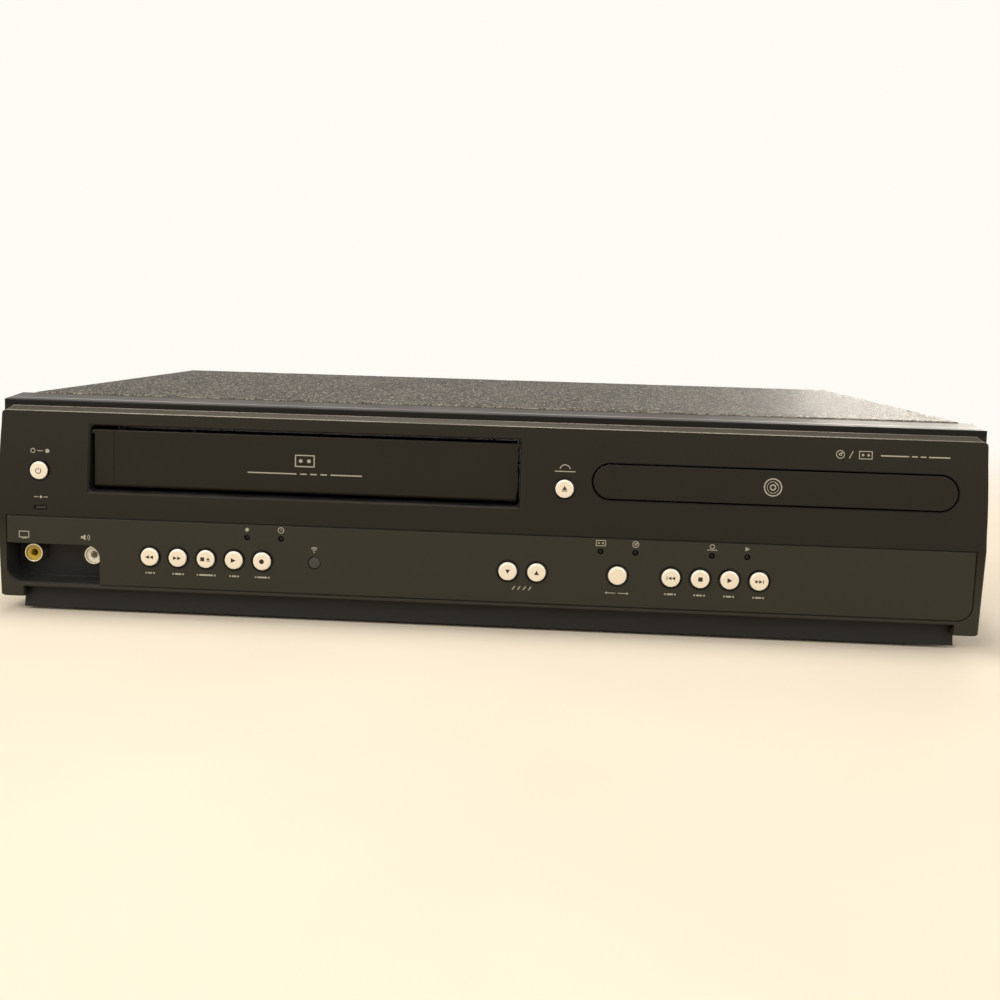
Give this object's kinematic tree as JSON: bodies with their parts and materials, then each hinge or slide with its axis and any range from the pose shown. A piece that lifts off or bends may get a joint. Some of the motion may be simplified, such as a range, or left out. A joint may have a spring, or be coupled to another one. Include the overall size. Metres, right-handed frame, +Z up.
{
  "type": "dvd vcr combo player",
  "caption": "Low black case holding a cassette recorder and a disc player side by side, with an inward hinged cassette door, a sliding disc tray, round push buttons and phono jacks.",
  "frame": {"origin": "centre of the overall box in X and Y, on the surface that the feet stand on", "axes": "+Z up, +X to the right seen from the front, so the front faces -Y"},
  "size_m": [0.4368, 0.2458, 0.0986],
  "materials": {
    "bezel_plastic": "fine moulded satin",
    "cover_paint": "coarse textured dark paint",
    "zinc_sheet": "zinc plated sheet",
    "foot_rubber": "moulded matte",
    "black_screws": "blackened",
    "door_plastic": "satin gloss",
    "spring_steel": "bright drawn",
    "smoked_lens": "smoked polished",
    "black_plastic": "matte moulded",
    "coded_plastic": "colour coded, glossy",
    "nickel": "nickel plated",
    "board_brown": "phenolic board",
    "white_plastic": "acetal, natural",
    "machined_aluminium": "fine turned",
    "soft_rubber": "ground rubber",
    "brass_turned": "turned",
    "board_green": "solder mask",
    "cap_plastic": "satin cream silver"
  },
  "bodies": {
    "player": {"front_bezel": "bezel_plastic", "top_cover": "cover_paint", "bottom_chassis": "zinc_sheet", "rear_panel": "zinc_sheet", "feet": "foot_rubber", "screws": "black_screws", "door_spring": "spring_steel", "indicator_lenses": "smoked_lens", "ir_window": "smoked_lens", "jack_blocks": "black_plastic", "jack_rings": "coded_plastic", "jack_sleeves": "nickel", "function_board": "board_brown", "deck_chassis": "zinc_sheet", "side_brackets": "zinc_sheet", "lower_drum": "machined_aluminium", "tape_heads": "nickel", "loader_frame": "black_plastic", "tray_belt": "soft_rubber", "drive_motors": "zinc_sheet", "clamp_bridge": "zinc_sheet", "main_board": "board_green", "board_components": "black_plastic", "heat_sink": "machined_aluminium", "cord_gland": "foot_rubber"},
    "door": {"vcr_door": "door_plastic"},
    "cage": {"cassette_cage": "zinc_sheet"},
    "supply_reel": {"supply_reel": "white_plastic"},
    "takeup_reel": {"takeup_reel": "white_plastic"},
    "upper_drum": {"upper_drum": "machined_aluminium"},
    "capstan": {"capstan": "spring_steel"},
    "pinch_arm": {"pinch_arm": "zinc_sheet"},
    "pinch_roller": {"pinch_roller": "soft_rubber"},
    "tape_guides": {"tape_guides": "nickel"},
    "cam_gear": {"cam_gear": "white_plastic"},
    "loading_pinion": {"loading_pinion": "white_plastic"},
    "tray": {"dvd_tray": "black_plastic", "tray_front": "door_plastic"},
    "tray_gear": {"tray_gear": "white_plastic"},
    "pulley_gear": {"pulley_gear": "white_plastic"},
    "motor_pulley": {"motor_pulley": "brass_turned"},
    "traverse": {"traverse_deck": "black_plastic", "pickup_rails": "spring_steel"},
    "turntable": {"turntable": "black_plastic"},
    "pickup": {"optical_pickup": "black_plastic"},
    "disc_clamp": {"disc_clamp": "black_plastic"},
    "standby_button": {"standby_button": "cap_plastic"},
    "open_close_button": {"open_close_button": "cap_plastic"},
    "rewind_button": {"rewind_button": "cap_plastic"},
    "forward_button": {"forward_button": "cap_plastic"},
    "stop_eject_button": {"stop_eject_button": "cap_plastic"},
    "play_button": {"play_button": "cap_plastic"},
    "record_button": {"record_button": "cap_plastic"},
    "tracking_down_button": {"tracking_down_button": "cap_plastic"},
    "tracking_up_button": {"tracking_up_button": "cap_plastic"},
    "source_button": {"source_button": "cap_plastic"},
    "previous_button": {"previous_button": "cap_plastic"},
    "disc_stop_button": {"disc_stop_button": "cap_plastic"},
    "disc_play_button": {"disc_play_button": "cap_plastic"},
    "next_button": {"next_button": "cap_plastic"}
  },
  "joints": [
    {"name": "door_hinge", "type": "hinge", "parent": "player", "child": "door", "pos_m": [-0.08, -0.1172, 0.0831], "axis": [1, 0, 0], "range_deg": [0, 90], "stiffness_Nm_per_rad": 0.002, "springref_deg": -28.65},
    {"name": "standby_press", "type": "slide", "parent": "player", "child": "standby_button", "axis": [0, 1, 0], "range_m": [0, 0.0006], "stiffness_N_per_m": 300, "springref_m": -0.0005},
    {"name": "open_close_press", "type": "slide", "parent": "player", "child": "open_close_button", "axis": [0, 1, 0], "range_m": [0, 0.0006], "stiffness_N_per_m": 300, "springref_m": -0.0005},
    {"name": "rewind_press", "type": "slide", "parent": "player", "child": "rewind_button", "axis": [0, 1, 0], "range_m": [0, 0.0006], "stiffness_N_per_m": 300, "springref_m": -0.0005},
    {"name": "forward_press", "type": "slide", "parent": "player", "child": "forward_button", "axis": [0, 1, 0], "range_m": [0, 0.0006], "stiffness_N_per_m": 300, "springref_m": -0.0005},
    {"name": "stop_eject_press", "type": "slide", "parent": "player", "child": "stop_eject_button", "axis": [0, 1, 0], "range_m": [0, 0.0006], "stiffness_N_per_m": 300, "springref_m": -0.0005},
    {"name": "play_press", "type": "slide", "parent": "player", "child": "play_button", "axis": [0, 1, 0], "range_m": [0, 0.0006], "stiffness_N_per_m": 300, "springref_m": -0.0005},
    {"name": "record_press", "type": "slide", "parent": "player", "child": "record_button", "axis": [0, 1, 0], "range_m": [0, 0.0006], "stiffness_N_per_m": 300, "springref_m": -0.0005},
    {"name": "tracking_down_press", "type": "slide", "parent": "player", "child": "tracking_down_button", "axis": [0, 1, 0], "range_m": [0, 0.0006], "stiffness_N_per_m": 300, "springref_m": -0.0005},
    {"name": "tracking_up_press", "type": "slide", "parent": "player", "child": "tracking_up_button", "axis": [0, 1, 0], "range_m": [0, 0.0006], "stiffness_N_per_m": 300, "springref_m": -0.0005},
    {"name": "source_press", "type": "slide", "parent": "player", "child": "source_button", "axis": [0, 1, 0], "range_m": [0, 0.0006], "stiffness_N_per_m": 300, "springref_m": -0.0005},
    {"name": "previous_press", "type": "slide", "parent": "player", "child": "previous_button", "axis": [0, 1, 0], "range_m": [0, 0.0006], "stiffness_N_per_m": 300, "springref_m": -0.0005},
    {"name": "disc_stop_press", "type": "slide", "parent": "player", "child": "disc_stop_button", "axis": [0, 1, 0], "range_m": [0, 0.0006], "stiffness_N_per_m": 300, "springref_m": -0.0005},
    {"name": "disc_play_press", "type": "slide", "parent": "player", "child": "disc_play_button", "axis": [0, 1, 0], "range_m": [0, 0.0006], "stiffness_N_per_m": 300, "springref_m": -0.0005},
    {"name": "next_press", "type": "slide", "parent": "player", "child": "next_button", "axis": [0, 1, 0], "range_m": [0, 0.0006], "stiffness_N_per_m": 300, "springref_m": -0.0005},
    {"name": "cage_slide", "type": "slide", "parent": "player", "child": "cage", "axis": [0, 1, 0], "range_m": [0, 0.058]},
    {"name": "supply_reel_turn", "type": "hinge", "parent": "player", "child": "supply_reel", "pos_m": [-0.126, -0.0395, 0.0322], "axis": [0, 0, 1], "continuous": true},
    {"name": "takeup_reel_turn", "type": "hinge", "parent": "player", "child": "takeup_reel", "pos_m": [-0.034, -0.0395, 0.0322], "axis": [0, 0, 1], "continuous": true},
    {"name": "drum_spin", "type": "hinge", "parent": "player", "child": "upper_drum", "pos_m": [-0.08, 0.0545, 0.0272], "axis": [0, 0.0872, 0.9962], "continuous": true},
    {"name": "capstan_spin", "type": "hinge", "parent": "player", "child": "capstan", "pos_m": [-0.018, 0.0265, 0.0272], "axis": [0, 0, 1], "continuous": true},
    {"name": "guide_slide", "type": "slide", "parent": "player", "child": "tape_guides", "axis": [0, 1, 0], "range_m": [0, 0.044]},
    {"name": "cam_gear_turn", "type": "hinge", "parent": "player", "child": "cam_gear", "pos_m": [-0.152, 0.0665, 0.0272], "axis": [0, 0, 1], "range_deg": [-1, 181]},
    {"name": "loading_pinion_turn", "type": "hinge", "parent": "player", "child": "loading_pinion", "pos_m": [-0.152, 0.0417, 0.0272], "axis": [0, 0, 1], "range_deg": [-620, 1]},
    {"name": "pinch_swing", "type": "hinge", "parent": "player", "child": "pinch_arm", "pos_m": [0.001, 0.0155, 0.0272], "axis": [0, 0, -1], "range_deg": [-0.1, 24.1]},
    {"name": "pinch_roller_spin", "type": "hinge", "parent": "pinch_arm", "child": "pinch_roller", "pos_m": [-0.0195, 0.0095, 0.0372], "axis": [0, 0, 1], "continuous": true},
    {"name": "tray_slide", "type": "slide", "parent": "player", "child": "tray", "axis": [0, -1, 0], "range_m": [0, 0.135]},
    {"name": "tray_gear_turn", "type": "hinge", "parent": "player", "child": "tray_gear", "pos_m": [0.0788, -0.09231, 0.06], "axis": [0, 0, 1], "range_deg": [-1, 775]},
    {"name": "pulley_gear_turn", "type": "hinge", "parent": "player", "child": "pulley_gear", "pos_m": [0.1004, -0.09231, 0.06], "axis": [0, 0, 1], "range_deg": [-2212, 1]},
    {"name": "motor_pulley_turn", "type": "hinge", "parent": "player", "child": "motor_pulley", "pos_m": [0.1404, -0.09031, 0.055], "axis": [0, 0, 1], "range_deg": [-7190, 1]},
    {"name": "traverse_lift", "type": "hinge", "parent": "player", "child": "traverse", "pos_m": [0.1268, 0.03319, 0.06], "axis": [-1, 0, 0], "range_deg": [0, 5.5]},
    {"name": "turntable_spin", "type": "hinge", "parent": "traverse", "child": "turntable", "pos_m": [0.1268, -0.04465, 0.05452], "axis": [0, -0.0958, 0.9954], "continuous": true},
    {"name": "pickup_slide", "type": "slide", "parent": "traverse", "child": "pickup", "axis": [0, 0.9954, 0.0958], "range_m": [0, 0.03]},
    {"name": "clamp_lift", "type": "slide", "parent": "player", "child": "disc_clamp", "axis": [0, 0, 1], "range_m": [0, 0.0006]}
  ],
  "couplings": [
    {"joint": "tray_gear_turn", "follows": "tray_slide", "rad_per_m": 100},
    {"joint": "pulley_gear_turn", "follows": "tray_slide", "rad_per_m": -285.71},
    {"joint": "motor_pulley_turn", "follows": "tray_slide", "rad_per_m": -928.57},
    {"joint": "cam_gear_turn", "follows": "guide_slide", "rad_per_m": 71.4},
    {"joint": "loading_pinion_turn", "follows": "guide_slide", "rad_per_m": -244.8},
    {"joint": "pinch_swing", "follows": "guide_slide", "rad_per_m": 9.52},
    {"joint": "clamp_lift", "follows": "traverse_lift", "m_per_rad": 0.0052087}
  ]
}
